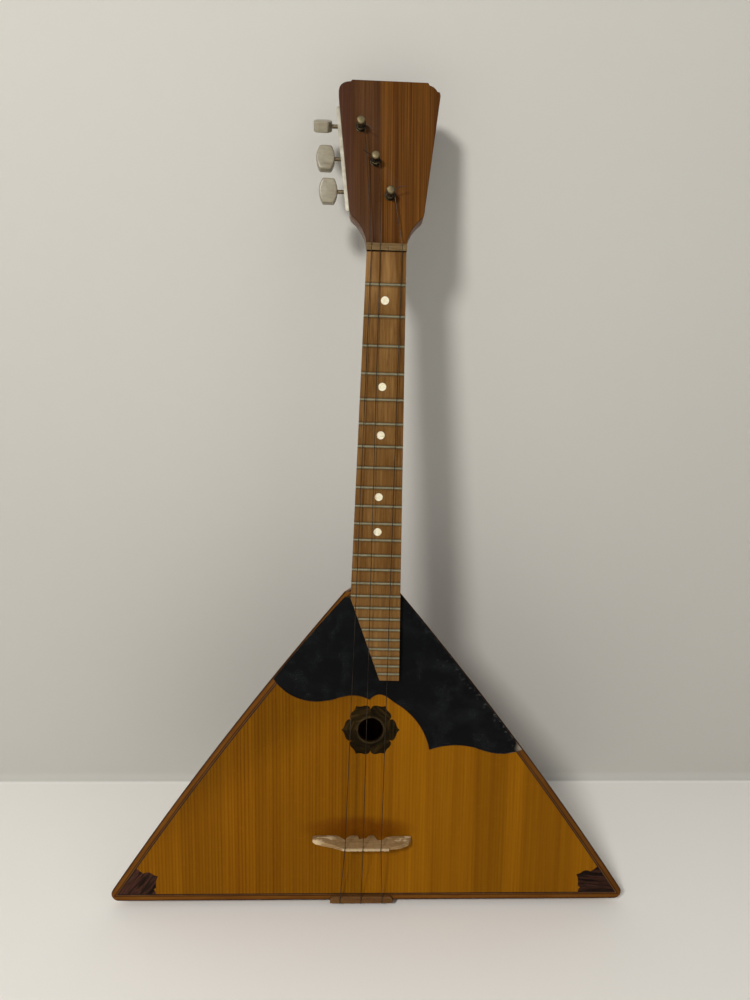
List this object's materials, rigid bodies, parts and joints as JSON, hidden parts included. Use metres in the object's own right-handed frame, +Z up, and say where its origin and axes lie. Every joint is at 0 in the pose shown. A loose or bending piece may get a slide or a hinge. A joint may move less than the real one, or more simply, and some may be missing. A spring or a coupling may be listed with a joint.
{
  "type": "balalaika",
  "caption": "Triangular-bodied three-string folk lute with a fretted neck, a staved back, worm tuners on one plate and a loose bridge.",
  "frame": {"origin": "the middle of the underside of the whole object's box: on the body's centre line, half-way between the bridge's top and the back, level with the lowest of the hitch pins that stick out of the tail", "axes": "+Z up the body's centre line towards the neck, -Y out of the soundboard towards the player's audience, +X to the right as seen from the front"},
  "size_m": [0.4316, 0.0956, 0.6606],
  "materials": {
    "spruce_top": "amber varnish, satin",
    "border_wood": "varnished, satin",
    "light_line": "varnished",
    "dark_line": "varnished",
    "rosewood": "varnished, satin",
    "pickguard": "black, scuffed",
    "back_wood": "varnished, gloss",
    "inner_wood": "bare",
    "neck_wood": "varnished, satin",
    "head_veneer": "walnut, satin",
    "fingerboard_wood": "worn, matt",
    "fret_metal": "nickel silver, dull",
    "pearl": "pearl",
    "bone": "bone-coloured",
    "bridge_wood": "bare maple",
    "saddle_wood": "bare",
    "string_steel": "plain steel wire",
    "pin_steel": "dull",
    "brass": "dull",
    "plate_metal": "nickel-plated, dull",
    "knob_plastic": "off-white, satin"
  },
  "bodies": {
    "root": {"soundboard": "spruce_top", "rosette": "rosewood", "corner_inlay_left": "rosewood", "corner_inlay_right": "rosewood", "border_left": "border_wood", "border_right": "border_wood", "border_tail": "border_wood", "purfling_light": "light_line", "purfling_dark": "dark_line", "pickguard": "pickguard", "stave_left_outer": "back_wood", "stave_left_middle": "back_wood", "stave_left_inner": "back_wood", "stave_centre": "back_wood", "stave_right_inner": "back_wood", "stave_right_middle": "back_wood", "stave_right_outer": "back_wood", "tail_board": "back_wood", "neck_block": "inner_wood", "tail_block": "inner_wood", "lining_left": "inner_wood", "lining_right": "inner_wood", "brace_upper": "inner_wood", "brace_middle": "inner_wood", "brace_lower": "inner_wood", "neck": "neck_wood", "head_veneer": "head_veneer", "fingerboard": "fingerboard_wood", "frets": "fret_metal", "position_dots": "pearl", "nut": "bone", "tail_saddle": "saddle_wood", "hitch_pins": "pin_steel", "string_left": "string_steel", "string_middle": "string_steel", "string_right": "string_steel", "tuner_plate": "plate_metal", "plate_screws": "pin_steel", "post_bushings": "brass"},
    "bridge": {"bridge": "bridge_wood"},
    "post_top": {"string_post_top": "brass", "gear_top": "brass", "gear_screw_top": "brass", "string_coil_top": "string_steel"},
    "knob_top": {"worm_shaft_top": "brass", "knob_top": "knob_plastic"},
    "post_middle": {"string_post_middle": "brass", "gear_middle": "brass", "gear_screw_middle": "brass", "string_coil_middle": "string_steel"},
    "knob_middle": {"worm_shaft_middle": "brass", "knob_middle": "knob_plastic"},
    "post_bottom": {"string_post_bottom": "brass", "gear_bottom": "brass", "gear_screw_bottom": "brass", "string_coil_bottom": "string_steel"},
    "knob_bottom": {"worm_shaft_bottom": "brass", "knob_bottom": "knob_plastic"}
  },
  "joints": [
    {"name": "bridge_slide", "type": "slide", "parent": "root", "child": "bridge", "axis": [0, 0, 1], "range_m": [-0.006, 0.04], "deforming": ["string_left", "string_middle", "string_right"]},
    {"name": "post_turn_top", "type": "hinge", "parent": "root", "child": "post_top", "pos_m": [-0.01248, -0.00259, 0.62326], "axis": [-0.0026, 0.9903, -0.1391], "continuous": true},
    {"name": "knob_turn_top", "type": "hinge", "parent": "root", "child": "knob_top", "pos_m": [-0.01231, -0.00125, 0.63277], "axis": [0.9998, 0, -0.0185], "continuous": true},
    {"name": "post_turn_middle", "type": "hinge", "parent": "root", "child": "post_middle", "pos_m": [-0.00144, -0.00607, 0.5983], "axis": [-0.0026, 0.9903, -0.1391], "continuous": true},
    {"name": "knob_turn_middle", "type": "hinge", "parent": "root", "child": "knob_middle", "pos_m": [-0.00127, -0.00473, 0.60781], "axis": [0.9998, 0, -0.0185], "continuous": true},
    {"name": "post_turn_bottom", "type": "hinge", "parent": "root", "child": "post_bottom", "pos_m": [0.0096, -0.00954, 0.57333], "axis": [-0.0026, 0.9903, -0.1391], "continuous": true},
    {"name": "knob_turn_bottom", "type": "hinge", "parent": "root", "child": "knob_bottom", "pos_m": [0.00977, -0.00821, 0.58284], "axis": [0.9998, 0, -0.0185], "continuous": true}
  ],
  "couplings": [
    {"joint": "knob_turn_top", "follows": "post_turn_top", "ratio": 15},
    {"joint": "knob_turn_middle", "follows": "post_turn_middle", "ratio": 15},
    {"joint": "knob_turn_bottom", "follows": "post_turn_bottom", "ratio": 15}
  ]
}
